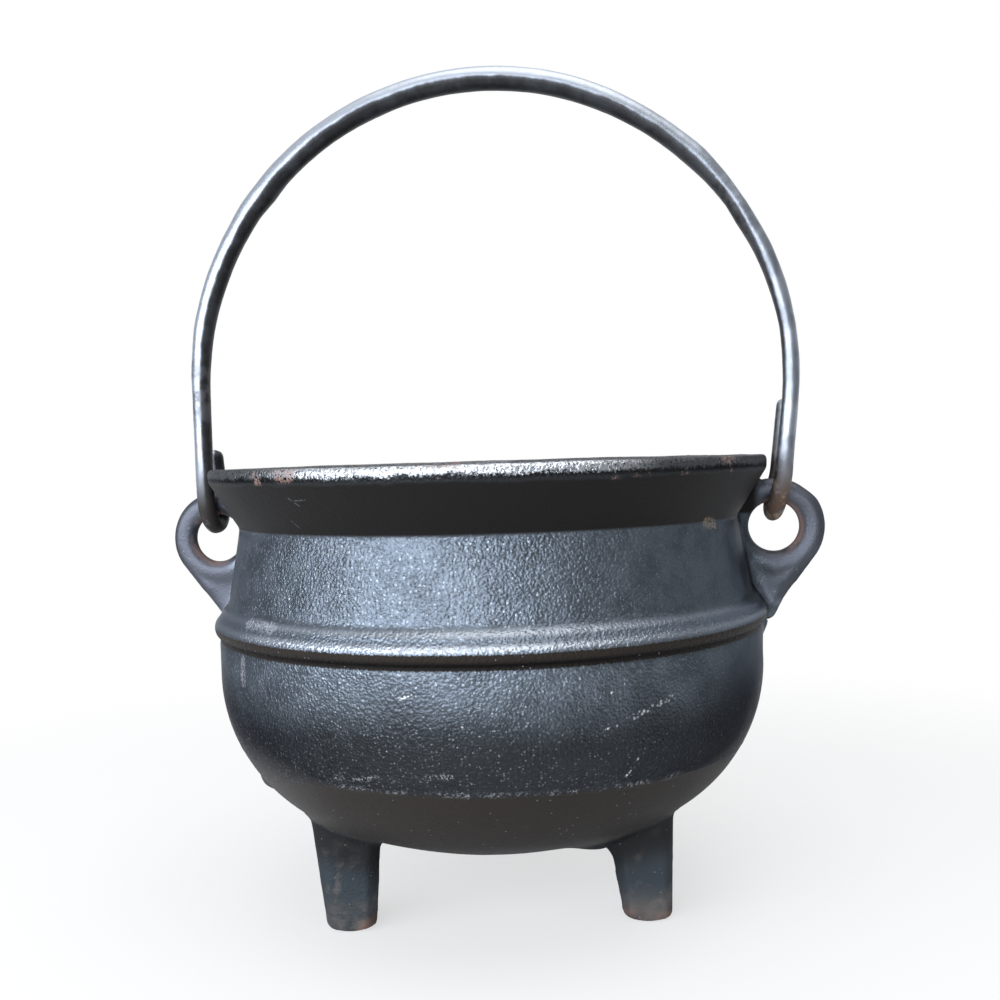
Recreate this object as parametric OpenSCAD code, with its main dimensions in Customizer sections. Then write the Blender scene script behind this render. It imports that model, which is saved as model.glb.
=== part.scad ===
// Three-legged cast-iron bean pot with two ears and a forged swing bail.
// Origin: middle of the pot on the floor under its feet, +X towards the right ear, +Z up.

/* [Bowl] */
// Largest diameter of the belly
belly_d = 199.4; // [180:0.2:224]
// How far the rim stands out beyond the belly, on each side
rim_step = 2.3; // [0:0.1:6]
// How far the sharp neck lies inside the belly, on each side
neck_step = 8.2; // [6:0.1:11]
// How far the foot of the sloping shoulder lies inside the belly, on each side
shoulder_step = 2.2; // [1.4:0.1:4]
// Height of the rim above the floor
rim_height = 162; // [156:1:180]
// Height of the upright lip round the rim
lip_height = 4.5; // [3:0.5:5]
// Rounding of the lip's two top edges
lip_round = 1.5; // [0.5:0.25:1.75]
// Thickness of the cast wall
wall = 4; // [3.5:0.25:5.5]
// Depth of the neck below the rim
neck_drop = 21.3; // [18:0.1:24]
// Depth below the rim where the belly starts to turn in
belly_drop = 73; // [68:1:80]
// Radius of the belly's side as it turns in
belly_side_r = 58; // [50:1:62]
// Radius of the shallow bowl bottom
bottom_r = 160; // [145:1:170]

/* [Band] */
// Depth below the rim of the middle of the heavy bead
bead_drop = 56; // [54:0.5:60]
// Thickness of the heavy bead
bead_d = 7.6; // [7:0.2:8.4]
// How far the heavy bead stands out of the belly
bead_proud = 1.5; // [1:0.1:2.5]
// Thickness of the fine ridge on top of the bead
ridge_d = 4; // [3:0.2:4.6]
// How far the fine ridge stands out of the shoulder
ridge_proud = 2.1; // [1.2:0.1:2.6]
// Height from the middle of the bead to the middle of the ridge
ridge_rise = 4.5; // [4:0.1:5]

/* [Ears] */
// Radius of the middle line of the ear's ring
ear_ring_r = 13.3; // [12.6:0.1:15]
// Width of the ring's arm, seen from the front
ear_arm_w = 8.7; // [8:0.1:9.8]
// Depth of the ring's arm, from front to back
ear_arm_t = 7.4; // [6.5:0.1:8]
// Drop from the rim to the middle of the ring
ear_drop = 26.4; // [25.8:0.1:29]
// How far the middle of the ring lies inside the hooks
ear_inset = 1.6; // [0:0.1:2.5]
// Lean of the ear's lower leg away from upright
ear_leg_lean = 35.5; // [32:0.5:42]
// Thickness of the lower leg where it leaves the ring
ear_leg_top_d = 7.3; // [6:0.1:7.6]
// Thickness of the lower leg where it fades into the belly
ear_leg_end_d = 5.6; // [4.5:0.1:6.5]
// Thickness of the web between the lower leg and the shoulder
ear_web_t = 5.4; // [4:0.2:6.2]

/* [Legs] */
// How far each leg's middle lies inside the belly
leg_inset = 39.3; // [34:0.1:45]
// Angle from the pot's front to the two front legs
leg_spread = 60; // [55:1:65]
// Turn of the three legs away from square with the ears
legs_turn = 6.7; // [0:0.1:15]
// Thickness of a leg across its rounded corners at the foot
leg_foot_d = 17; // [15:0.5:21]
// How much thicker a leg gets per millimetre of height
leg_taper = 0.21; // [0.1:0.01:0.3]
// Distance from a leg's middle to its flat sides, as a share of its radius
leg_flat = 0.76; // [0.7:0.01:0.86]
// Bevel round the sole of each foot
foot_bevel = 2.5; // [1:0.25:3.5]
// Outward lean of the front left leg
lean_front_left = -1; // [-2:0.5:4]
// Outward lean of the front right leg
lean_front_right = 4.5; // [-2:0.5:6]
// Outward lean of the rear leg
lean_rear = 2; // [-2:0.5:6]
// Radius of the fillet between leg and bowl
leg_fillet = 8; // [5:0.5:10]

/* [Bail] */
// How much further out the hoop's sides reach than the hooks
hoop_bulge = 2.4; // [0:0.1:5]
// Height of the middle of the hoop above the hooks' swing axis
hoop_rise = 43.5; // [36:0.5:60]
// Distance by which the hoop was bent off centre, towards the right
hoop_shift = 1.7; // [0:0.1:2.5]
// Thickness of the bail's sides and hooks
rod_d = 6.4; // [5.8:0.1:6.8]
// Thickness of the bail's heavier crown, where it is held
crown_d = 8.3; // [7.6:0.1:10]
// Angle from the top of the bail to where the crown starts to thin
crown_angle = 44; // [36:1:50]
// Angle over which the crown thins down to the sides
taper_angle = 30; // [16:1:34]
// Gap between the hooks and the upright lip inside them
lip_gap = 1.2; // [1:0.1:2]
// Gap between the hooks and the ears' arms, all round
hook_play = 0.75; // [0.6:0.05:1.4]
// How far each hook is bent past a half circle, towards the rod
hook_close = 13; // [8:1:15]
// Lean of the left hook, inwards under the flared rim
hook_lean_left = 5; // [3:0.5:8]
// Lean of the right hook, inwards under the flared rim
hook_lean_right = 13; // [8:0.5:14]
// Radius of the gentle bends that lean the hooks
set_r = 40; // [30:1:50]
// Height of these bends above the swing axis
set_rise = 2; // [1:0.5:4]
// Length of the left hook's straight tip
tip_left = 14; // [10:1:18]
// Length of the right hook's straight tip
tip_right = 25; // [16:1:28]

/* [Hidden] */

round_facets = 96;
ring_facets = 48;
rod_facets = 32;
iron = [0.23, 0.25, 0.27];
worn_iron = [0.30, 0.31, 0.32];
steel = [0.42, 0.44, 0.47];

// Bowl outline, all heights from the floor
belly_r = belly_d / 2;
rim_r = belly_r + rim_step;
neck_r = belly_r - neck_step;
shoulder_r = belly_r - shoulder_step;
neck_z = rim_height - neck_drop;
lip_z = rim_height - lip_height;
belly_z = rim_height - belly_drop;
side_x = belly_r - belly_side_r;
bottom_centre_z = belly_z + sqrt(pow(bottom_r - belly_side_r, 2) - pow(side_x, 2));
bottom_tangent = atan2(side_x, bottom_centre_z - belly_z);
bead_z = rim_height - bead_drop;
flare_slope = atan2(rim_r - neck_r, lip_z - neck_z);
shoulder_slope = atan2(shoulder_r - neck_r, neck_z - bead_z);

// Ears and the swing axis through the tops of their rings
hook_x = rim_r + lip_gap + rod_d / 2;
ear_x = hook_x - ear_inset;
ear_z = rim_height - ear_drop;
swing_z = ear_z + sqrt(pow(ear_ring_r, 2) - pow(ear_inset, 2));

// Bail: hoop and hooks, the steps that thin its crown, and how its pieces of rod join
hook_r = ear_arm_w / 2 + hook_play + rod_d / 2;
hoop_r = hook_x + hoop_bulge;
taper_steps = 4;
taper_turn = taper_angle / taper_steps;
taper_run = hoop_r / 2 * tan(taper_turn / 2);
nip = rod_d / 4;
hair = 0.04;
lap = 0.05;

// Legs
leg_circle_r = belly_r - leg_inset;
foot_r = leg_foot_d / 2;
leg_root_z = bottom_centre_z - sqrt(pow(bottom_r, 2) - pow(leg_circle_r, 2));
root_sink = 0.6;

// Bowl

module bottom_sector(inset) {
    reach = 2 * bottom_r;
    intersection() {
        translate([0, bottom_centre_z]) circle(r = bottom_r - inset, $fn = 2 * round_facets);
        polygon([[0, bottom_centre_z],
                 [reach * sin(bottom_tangent), bottom_centre_z - reach * cos(bottom_tangent)],
                 [0, bottom_centre_z - reach]]);
    }
}

module belly_section(inset) {
    intersection() {
        union() {
            bottom_sector(inset);
            translate([side_x, belly_z]) circle(r = belly_side_r - inset, $fn = round_facets);
        }
        square([belly_r + wall, belly_z]);
    }
}

module lip_section() {
    inner_r = rim_r - wall;
    translate([inner_r, lip_z]) square([wall, lip_height - lip_round]);
    translate([inner_r + lip_round, lip_z]) square([wall - 2 * lip_round, lip_height]);
    for (x = [inner_r + lip_round, rim_r - lip_round])
        translate([x, rim_height - lip_round]) circle(r = lip_round, $fn = rod_facets);
}

module outer_section() {
    belly_section(0);
    polygon([[0, belly_z], [belly_r, belly_z], [belly_r, bead_z],
             [shoulder_r, bead_z], [neck_r, neck_z],
             [rim_r, lip_z], [0, lip_z]]);
}

module inner_section() {
    belly_section(wall);
    polygon([[0, belly_z], [belly_r - wall, belly_z], [belly_r - wall, bead_z - bead_d / 2],
             [neck_r - wall / cos((flare_slope + shoulder_slope) / 2), neck_z],
             [rim_r - wall, lip_z + wall * tan(flare_slope / 2)],
             [rim_r - wall, rim_height + wall], [0, rim_height + wall]]);
}

module outer_solid() {
    rotate_extrude($fn = round_facets) outer_section();
}

module bowl() {
    color(iron)
    rotate_extrude($fn = round_facets)
    difference() {
        union() {
            outer_section();
            lip_section();
        }
        inner_section();
    }
}

module band_section() {
    translate([belly_r + bead_proud - bead_d / 2, bead_z]) circle(d = bead_d, $fn = rod_facets);
    ridge_x = shoulder_r - ridge_rise * tan(shoulder_slope) + ridge_proud - ridge_d / 2;
    translate([ridge_x, bead_z + ridge_rise]) circle(d = ridge_d, $fn = rod_facets);
}

module belly_band() {
    color(iron)
    rotate_extrude($fn = round_facets)
    difference() {
        band_section();
        outer_section();
    }
}

// Ears

module arm_section() {
    offset_x = (ear_arm_w - ear_arm_t) / 2;
    for (side = [-1, 1])
        translate([side * offset_x, 0]) circle(d = ear_arm_t, $fn = rod_facets);
    square([2 * offset_x, ear_arm_t], center = true);
}

// The ear lies in the XZ plane with its ring round the ear's hole
module ear_shape() {
    leg_offset = ear_ring_r + (ear_arm_w - ear_leg_top_d) / 2;
    leg_length = (ear_x - belly_r + leg_offset * cos(ear_leg_lean)) / sin(ear_leg_lean);
    translate([ear_x, 0, ear_z]) {
        rotate([90, 0, 0])
            rotate_extrude($fn = ring_facets) translate([ear_ring_r, 0]) arm_section();
        rotate([0, ear_leg_lean, 0]) translate([leg_offset, 0, -leg_length])
            cylinder(h = leg_length, d1 = ear_leg_end_d, d2 = ear_leg_top_d, $fn = rod_facets);
        difference() {
            rotate([0, ear_leg_lean, 0]) translate([0, 0, -leg_length / 2])
                cube([2 * leg_offset, ear_web_t, leg_length], center = true);
            rotate([90, 0, 0])
                cylinder(r = ear_ring_r, h = 2 * ear_arm_t, center = true, $fn = ring_facets);
        }
    }
}

module ear(side) {
    color(worn_iron)
    mirror([side < 0 ? 1 : 0, 0, 0])
    difference() {
        ear_shape();
        outer_solid();
        rotate_extrude($fn = round_facets) band_section();
    }
}

module ear_left() {
    ear(-1);
}

module ear_right() {
    ear(1);
}

// Legs

// A rounded triangle in section, thicker towards the bowl, one corner outwards
module leg_column(length) {
    top_r = foot_r + leg_taper / 2 * length;
    intersection() {
        cylinder(h = length, r1 = foot_r, r2 = top_r, $fn = ring_facets);
        cylinder(h = length, r1 = 2 * leg_flat * foot_r, r2 = 2 * leg_flat * top_r, $fn = 3);
    }
}

// Leans inwards from a flat, bevelled sole
module leg_blank(lean) {
    length = leg_root_z + foot_r;
    sole_r = foot_r - foot_bevel;
    intersection() {
        rotate([0, -lean, 0]) translate([0, 0, -foot_bevel]) leg_column(length + foot_bevel);
        cylinder(h = 2 * length, r1 = sole_r, r2 = sole_r + 2 * length, $fn = ring_facets);
    }
}

// A hollow-sided collar round the top of a leg, its narrow end hidden in the leg
module leg_root() {
    root_r = leg_flat * (foot_r + leg_taper / 2 * leg_root_z) - root_sink;
    rotate_extrude($fn = ring_facets)
    difference() {
        square([root_r + leg_fillet, leg_fillet]);
        translate([root_r + leg_fillet, leg_fillet]) circle(r = leg_fillet, $fn = ring_facets);
    }
}

// The collar stands square to the bowl's surface, round the leg's axis
module leg(angle, lean) {
    root_tilt = asin((leg_circle_r - leg_root_z * tan(lean)) / bottom_r);
    color(worn_iron)
    difference() {
        rotate([0, 0, angle + legs_turn]) {
            translate([leg_circle_r, 0, 0]) leg_blank(lean);
            translate([0, 0, bottom_centre_z]) rotate([0, -root_tilt, 0])
                translate([0, 0, root_sink - bottom_r]) mirror([0, 0, 1]) leg_root();
        }
        outer_solid();
    }
}

module leg_front_left() {
    leg(-90 - leg_spread, lean_front_left);
}

module leg_front_right() {
    leg(-90 + leg_spread, lean_front_right);
}

module leg_rear() {
    leg(90, lean_rear);
}

// Bail: each step draws a piece of rod from its start, heading +Z, and puts what follows at its end.
// Straight pieces are a hair thinner than bends and lap into them, so each joint is a clean shoulder.

module bend(turn, radius, d, facets = round_facets) {
    translate([radius, 0, 0]) rotate([90, 0, 0])
        rotate_extrude(angle = turn, start = 180 - turn, $fn = facets)
            translate([radius, 0]) circle(d = d, $fn = rod_facets);
    translate([radius, 0, 0]) rotate([0, turn, 0]) translate([-radius, 0, 0]) children();
}

module straight(length, d1, d2) {
    translate([0, 0, -lap]) cylinder(h = length + 2 * lap, d1 = d1 - hair, d2 = d2 - hair, $fn = rod_facets);
    translate([0, 0, length]) children();
}

// Straight, bend, straight: starts and ends on the hoop and along it
module taper(steps) {
    thin_by = (crown_d - rod_d) / taper_steps;
    thick = rod_d + thin_by * steps;
    middle = thick - thin_by / 2;
    straight(taper_run, thick, middle) bend(taper_turn, hoop_r / 2, middle)
        straight(taper_run, middle, thick - thin_by)
            if (steps > 1)
                taper(steps - 1) children();
            else
                children();
}

// The bend that leans the hook, the way through the ear, and a bend that sets the tip upright again
module hook(turn, tip) {
    bend(turn, set_r, rod_d) straight(set_rise, rod_d, rod_d)
        rotate([0, 0, 90]) bend(180 + hook_close, hook_r, rod_d, ring_facets)
            straight(set_rise, rod_d, rod_d) rotate([0, 0, -90]) bend(turn, set_r, rod_d)
                straight(tip - nip, rod_d, rod_d) straight(nip, rod_d - hair, rod_d - nip);
}

// One side of the bail, from the end of its crown to the tip of its hook, in the hoop's own frame.
// The straight run is the tangent from the hoop to the bend that leans the hook.
module bail_side(reach, lean, tip) {
    set_x = reach + set_rise * sin(lean) - set_r * cos(lean);
    set_drop = hoop_rise - set_rise * cos(lean) - set_r * sin(lean);
    set_distance = norm([set_x, set_drop]);
    run_length = sqrt(pow(set_distance, 2) - pow(hoop_r - set_r, 2));
    run_lean = atan2(set_drop, set_x) - acos((hoop_r - set_r) / set_distance);
    rotate([0, crown_angle, 0]) translate([0, 0, hoop_r]) rotate([0, 90, 0])
        taper(taper_steps) bend(90 + run_lean - crown_angle - taper_angle, hoop_r, rod_d)
            straight(run_length, rod_d, rod_d) hook(lean - run_lean, tip);
}

module bail() {
    color(steel)
    translate([hoop_shift, -hook_r, swing_z + hoop_rise]) {
        rotate([90, 0, 0])
            rotate_extrude(angle = 2 * crown_angle, start = 90 - crown_angle, $fn = round_facets)
                translate([hoop_r, 0]) circle(d = crown_d, $fn = rod_facets);
        bail_side(hook_x - hoop_shift, hook_lean_right, tip_right);
        mirror([1, 0, 0]) bail_side(hook_x + hoop_shift, hook_lean_left, tip_left);
    }
}

bowl();
belly_band();
ear_left();
ear_right();
leg_front_left();
leg_front_right();
leg_rear();
bail();
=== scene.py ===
from math import acos, asin, atan2, cos, hypot, pi, radians, sin, sqrt

import bmesh
import bpy
import numpy as np
from mathutils import Matrix, Vector, noise


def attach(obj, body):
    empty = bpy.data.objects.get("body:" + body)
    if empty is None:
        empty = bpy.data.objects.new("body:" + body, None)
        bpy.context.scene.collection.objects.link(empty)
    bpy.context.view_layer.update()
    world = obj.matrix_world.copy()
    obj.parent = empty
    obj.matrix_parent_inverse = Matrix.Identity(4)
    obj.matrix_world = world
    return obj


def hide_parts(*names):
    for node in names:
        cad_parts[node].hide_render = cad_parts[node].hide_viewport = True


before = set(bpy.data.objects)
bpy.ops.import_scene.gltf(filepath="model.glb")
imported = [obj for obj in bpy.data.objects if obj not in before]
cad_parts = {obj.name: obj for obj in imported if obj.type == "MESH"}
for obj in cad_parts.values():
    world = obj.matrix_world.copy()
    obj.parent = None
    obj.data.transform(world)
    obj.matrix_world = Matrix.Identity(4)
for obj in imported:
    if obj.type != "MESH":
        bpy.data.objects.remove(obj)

# Three-legged bean pot. Sizes in the dictionaries are in millimetres, the scene is in metres.

mm = 0.001
scene = bpy.context.scene
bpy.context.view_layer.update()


# camera, where the photograph was taken from

photoCamera = {
    "place": (51.06, -434.61, 164.3),
    "looks": (-0.10688, 0.99353, -0.03839),
    "roll": -1.64,
    "lens": 41.98,
}


def makeCamera(sizes):
    forward = Vector(sizes["looks"]).normalized()
    level = forward.cross(Vector((0, 0, 1))).normalized()
    upright = level.cross(forward)
    roll = radians(sizes["roll"])
    right = level * cos(roll) + upright * sin(roll)
    up = upright * cos(roll) - level * sin(roll)
    camera = bpy.data.objects.new("photoCamera", bpy.data.cameras.new("photoCamera"))
    camera.data.lens = sizes["lens"]
    camera.data.clip_start = 0.01
    turn = Matrix((right, up, -forward)).transposed().to_4x4()
    camera.matrix_world = Matrix.Translation(Vector(sizes["place"]) * mm) @ turn
    scene.collection.objects.link(camera)
    scene.camera = camera


makeCamera(photoCamera)


# helpers for meshes

def arcPoints(x, z, radius, start, end, step=0.8):
    count = max(4, int(abs(radians(end - start)) * radius / step))
    angles = [radians(start + (end - start) * i / count) for i in range(count + 1)]
    return [(x + radius * cos(a), z + radius * sin(a)) for a in angles]


def linePoints(start, end, step=2.0):
    count = max(1, int(hypot(end[0] - start[0], end[1] - start[1]) / step))
    return [tuple(a + (b - a) * i / count for a, b in zip(start, end)) for i in range(count + 1)]


def turnedBody(bm, profile, segments=360):
    # profile is a closed loop of (radius, height); points on the axis become a pole
    rings = []
    for r, z in profile:
        if r < 1e-6:
            rings.append([bm.verts.new((0, 0, z * mm))])
            continue
        turns = [2 * pi * i / segments for i in range(segments)]
        rings.append([bm.verts.new((r * cos(a) * mm, r * sin(a) * mm, z * mm)) for a in turns])
    for low, high in zip(rings, rings[1:] + rings[:1]):
        if len(low) == 1 and len(high) == 1:
            continue
        for i in range(segments):
            j = (i + 1) % segments
            corners = [low[i % len(low)], low[j % len(low)], high[j % len(high)], high[i % len(high)]]
            bm.faces.new(list(dict.fromkeys(corners)))


def newPiece(name, mesh):
    piece = bpy.data.objects.new(name, mesh)
    scene.collection.objects.link(piece)
    return piece


def applyModifiers(piece):
    evaluated = piece.evaluated_get(bpy.context.evaluated_depsgraph_get())
    shaped = bpy.data.meshes.new_from_object(evaluated)
    piece.modifiers.clear()
    piece.data = shaped
    shaped.name = piece.name
    shaped.polygons.foreach_set("use_smooth", [True] * len(shaped.polygons))


def meshPoints(mesh):
    points = np.empty(len(mesh.vertices) * 3, np.float32)
    mesh.vertices.foreach_get("co", points)
    return points.reshape(-1, 3).astype(float) / mm


def smoothStep(value, low, high):
    t = np.clip((value - low) / (high - low), 0, 1)
    return t * t * (3 - 2 * t)


def hump(value, middle, width):
    return np.exp(-((value - middle) / width) ** 2)


def pushOut(mesh, offsets):
    # moves each point along its normal by an offset in millimetres
    normals = np.empty(len(mesh.vertices) * 3, np.float32)
    mesh.vertices.foreach_get("normal", normals)
    points = meshPoints(mesh) + normals.reshape(-1, 3) * offsets[:, None]
    mesh.vertices.foreach_set("co", (points * mm).astype(np.float32).ravel())
    mesh.update()


def setGroup(piece, name, weights):
    group = piece.vertex_groups.new(name=name)
    levels = np.round(weights * 20).astype(int)
    for level in range(1, 21):
        members = np.nonzero(levels == level)[0].tolist()
        if members:
            group.add(members, level / 20, "REPLACE")


def setMask(mesh, name, values):
    layer = mesh.attributes.new(name, "FLOAT", "POINT")
    layer.data.foreach_set("value", np.clip(values, 0, 1).astype(np.float32))


# helpers for materials

def addNode(tree, kind, inputs=None, **settings):
    node = tree.nodes.new("ShaderNode" + kind)
    for key, value in settings.items():
        setattr(node, key, value)
    for key, value in (inputs or {}).items():
        if isinstance(value, bpy.types.NodeSocket):
            tree.links.new(value, node.inputs[key])
        else:
            node.inputs[key].default_value = value
    return node


def newMaterial(name):
    material = bpy.data.materials.new(name)
    material.use_nodes = True
    material.node_tree.nodes.clear()
    return material, material.node_tree


def placeInMm(tree):
    place = addNode(tree, "TexCoord").outputs["Object"]
    return addNode(tree, "VectorMath", {0: place, "Scale": 1 / mm}, operation="SCALE").outputs[0]


def noiseOf(tree, place, size, detail=2.0, rough=0.5):
    settings = {"Vector": place, "Scale": 1 / size, "Detail": detail, "Roughness": rough}
    return addNode(tree, "TexNoise", settings).outputs[0]


def stepOf(tree, value, low, high):
    return addNode(tree, "MapRange", {0: value, 1: low, 2: high}, interpolation_type="SMOOTHSTEP").outputs[0]


def calc(tree, operation, a, b=0.0):
    return addNode(tree, "Math", {0: a, 1: b}, operation=operation).outputs[0]


def mixColour(tree, share, a, b, blend="MIX"):
    return addNode(tree, "Mix", {0: share, 6: a, 7: b}, data_type="RGBA", blend_type=blend).outputs[2]


def mixValue(tree, share, a, b):
    return addNode(tree, "Mix", {0: share, 2: a, 3: b}, data_type="FLOAT").outputs[0]


def inverse(tree, value):
    return calc(tree, "SUBTRACT", 1.0, value)


def maskOf(tree, name):
    return addNode(tree, "Attribute", attribute_name=name).outputs["Fac"]


def vectorOf(tree, operation, a, b=(0, 0, 0), scale=1.0, output=0):
    inputs = {0: a, "Scale": scale} if operation == "SCALE" else {0: a, 1: b}
    return addNode(tree, "VectorMath", inputs, operation=operation).outputs[output]


def nearLine(tree, place, start, end, width):
    # 1 on a line between two points of the surface, 0 beyond its width
    way = Vector(end) - Vector(start)
    offset = vectorOf(tree, "SUBTRACT", place, tuple(start))
    along = vectorOf(tree, "DOT_PRODUCT", offset, tuple(way / way.length_squared), output="Value")
    along = addNode(tree, "Clamp", {0: along}).outputs[0]
    nearest = vectorOf(tree, "SCALE", tuple(way), scale=along)
    distance = vectorOf(tree, "DISTANCE", offset, nearest, output="Value")
    return inverse(tree, stepOf(tree, distance, width * 0.4, width))


def dotsOf(tree, place, spacing, size, share):
    # round dots scattered over the surface
    cells = addNode(tree, "TexVoronoi", {"Vector": place, "Scale": 1 / spacing})
    near = inverse(tree, stepOf(tree, cells.outputs["Distance"], size * 0.5 / spacing, size / spacing))
    pick = addNode(tree, "SeparateColor", {0: cells.outputs["Color"]}).outputs[0]
    return calc(tree, "MULTIPLY", near, calc(tree, "LESS_THAN", pick, share))


def nearPoint(tree, place, centre, size):
    distance = vectorOf(tree, "DISTANCE", place, tuple(centre), output="Value")
    return inverse(tree, stepOf(tree, distance, size * 0.3, size))


def grey(value, warm=0.0):
    return (value * (1 + warm), value, value * (1 - warm), 1)


# the pot: bowl, band, ears and legs are one casting

pot = {
    "bellyR": 99.7,
    "rimR": 102.0,
    "neckR": 91.5,
    "shoulderR": 97.5,
    "rimZ": 162.0,
    "lipZ": 157.5,
    "lipRound": 1.5,
    "wall": 4.0,
    "neckZ": 140.7,
    "beadZ": 106.0,
    "beadR": 3.9,
    "beadX": 97.45,
    "ridgeR": 2.1,
    "ridgeX": 96.85,
    "ridgeZ": 110.5,
    "bellyZ": 89.0,
    "bellySideR": 58.0,
    "bottomR": 160.0,
    "voxel": 0.8,
    "sand": {"size": 1.6, "depth": 0.2},  # grain that the mesh itself carries
    "wave": {"size": 34.0, "depth": 0.6},  # slow unevenness of an old casting
    "seam": {"z": 62.8, "tilt": 1.6, "height": 0.45, "width": 0.55, "step": 0.2},
    "groove": {"z": 102.4, "depth": 0.55, "width": 0.9},
    "earRing": {"x": 104.8, "z": 135.6, "r": 13.3},
    "lump": {"turn": -72, "z": 49, "height": 2.6, "size": 4.0},
    "earRoot": {"z": 101.5, "height": 2.4, "size": 5.5},
    "earWaist": {"z": 93.0, "depth": 1.1, "size": 3.2, "wide": 9.0},
    "pad": {"x": 39, "y": -30, "size": (9, 14), "height": 4.0},
}


def potProfile(sizes):
    wall = sizes["wall"]
    sideX = sizes["bellyR"] - sizes["bellySideR"]
    rise = sqrt((sizes["bottomR"] - sizes["bellySideR"]) ** 2 - sideX ** 2)
    bottomZ = sizes["bellyZ"] + rise
    turn = atan2(sideX, rise) * 180 / pi
    lipX, rimX = sizes["rimR"] - wall + sizes["lipRound"], sizes["rimR"] - sizes["lipRound"]
    lipTop = sizes["rimZ"] - sizes["lipRound"]

    outside = arcPoints(0, bottomZ, sizes["bottomR"], -90, -90 + turn)
    outside += arcPoints(sideX, sizes["bellyZ"], sizes["bellySideR"], -90 + turn, 0)
    outside += linePoints((sizes["bellyR"], sizes["bellyZ"]), (sizes["bellyR"], sizes["beadZ"]))
    outside += linePoints((sizes["shoulderR"], sizes["beadZ"]), (sizes["neckR"], sizes["neckZ"]))
    outside += linePoints((sizes["neckR"], sizes["neckZ"]), (sizes["rimR"], sizes["lipZ"]))
    outside += arcPoints(rimX, lipTop, sizes["lipRound"], 0, 90, 0.3)
    outside += arcPoints(lipX, lipTop, sizes["lipRound"], 90, 180, 0.3)

    inside = arcPoints(0, bottomZ, sizes["bottomR"] - wall, -90, -90 + turn)
    inside += arcPoints(sideX, sizes["bellyZ"], sizes["bellySideR"] - wall, -90 + turn, 0)
    inside += linePoints((sizes["bellyR"] - wall, sizes["bellyZ"]), (sizes["bellyR"] - wall, sizes["beadZ"] - 4))
    inside += linePoints((sizes["bellyR"] - wall, sizes["beadZ"] - 4), (sizes["neckR"] - wall - 0.4, sizes["neckZ"]))
    inside += linePoints((sizes["neckR"] - wall - 0.4, sizes["neckZ"]), (sizes["rimR"] - wall, sizes["lipZ"] + 1))
    loop = outside + inside[::-1]
    return [point for i, point in enumerate(loop) if hypot(point[0] - loop[i - 1][0], point[1] - loop[i - 1][1]) > 1e-4]


def bowlUnderside(sizes, radius):
    # height of the bowl's outside at each distance from its axis, up to the belly's widest
    sideX = sizes["bellyR"] - sizes["bellySideR"]
    rise = sqrt((sizes["bottomR"] - sizes["bellySideR"]) ** 2 - sideX ** 2)
    bottom = sizes["bellyZ"] + rise - np.sqrt(np.maximum(sizes["bottomR"] ** 2 - radius ** 2, 0))
    side = sizes["bellyZ"] - np.sqrt(np.maximum(sizes["bellySideR"] ** 2 - (radius - sideX) ** 2, 0))
    return np.where(radius < sizes["bottomR"] * sideX / hypot(rise, sideX), bottom, side)


def outsideRadius(sizes, z):
    # radius of the plain bowl's outside, without its band, at each height
    sideX = sizes["bellyR"] - sizes["bellySideR"]
    rise = sqrt((sizes["bottomR"] - sizes["bellySideR"]) ** 2 - sideX ** 2)
    low = sizes["bellyZ"] - sizes["bellySideR"] * rise / hypot(rise, sideX)
    side = sideX + np.sqrt(np.maximum(sizes["bellySideR"] ** 2 - (z - sizes["bellyZ"]) ** 2, 0))
    bottom = np.sqrt(np.maximum(sizes["bottomR"] ** 2 - (z - sizes["bellyZ"] - rise) ** 2, 0))
    heights = [sizes["bellyZ"], sizes["beadZ"], sizes["beadZ"] + 0.01, sizes["neckZ"], sizes["lipZ"], sizes["rimZ"]]
    radii = [sizes["bellyR"], sizes["bellyR"], sizes["shoulderR"], sizes["neckR"], sizes["rimR"], sizes["rimR"]]
    return np.where(z > sizes["bellyZ"], np.interp(z, heights, radii), np.where(z > low, side, bottom))


def castPot(sizes):
    bm = bmesh.new()
    turnedBody(bm, potProfile(sizes))
    for x, z, r in ((sizes["beadX"], sizes["beadZ"], sizes["beadR"]), (sizes["ridgeX"], sizes["ridgeZ"], sizes["ridgeR"])):
        turnedBody(bm, arcPoints(x, z, r, 0, 360, 0.4)[:-1])
    bmesh.ops.recalc_face_normals(bm, faces=bm.faces)
    for node in ("ear_left", "ear_right", "leg_front_left", "leg_front_right", "leg_rear"):
        bm.from_mesh(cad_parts[node].data)
    mesh = bpy.data.meshes.new("potCasting")
    bm.to_mesh(mesh)
    bm.free()

    piece = newPiece("potCasting", mesh)
    remesh = piece.modifiers.new("fuse", "REMESH")
    remesh.mode = "VOXEL"
    remesh.voxel_size = sizes["voxel"] * mm
    applyModifiers(piece)
    padLeg(piece, sizes)
    smoothJoints(piece)
    sculptPot(piece, sizes)
    roughen(piece, sizes)
    return piece


def padLeg(piece, sizes):
    # the casting is thick where the front right leg leaves the bottom
    pad = sizes["pad"]
    x, y, z = meshPoints(piece.data).T
    near = hump(x, pad["x"], pad["size"][0]) * hump(y, pad["y"], pad["size"][1])
    depth = bowlUnderside(sizes, np.hypot(x, y)) - z
    near *= smoothStep(depth, -2.5, -1.5) * (1 - smoothStep(depth, 3, 8))
    pushOut(piece.data, near * pad["height"])
    setGroup(piece, "padZone", np.where((depth > -2) & (depth < 14), hump(x, 42, 9) * hump(y, pad["y"] + 4, 14), 0))


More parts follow.
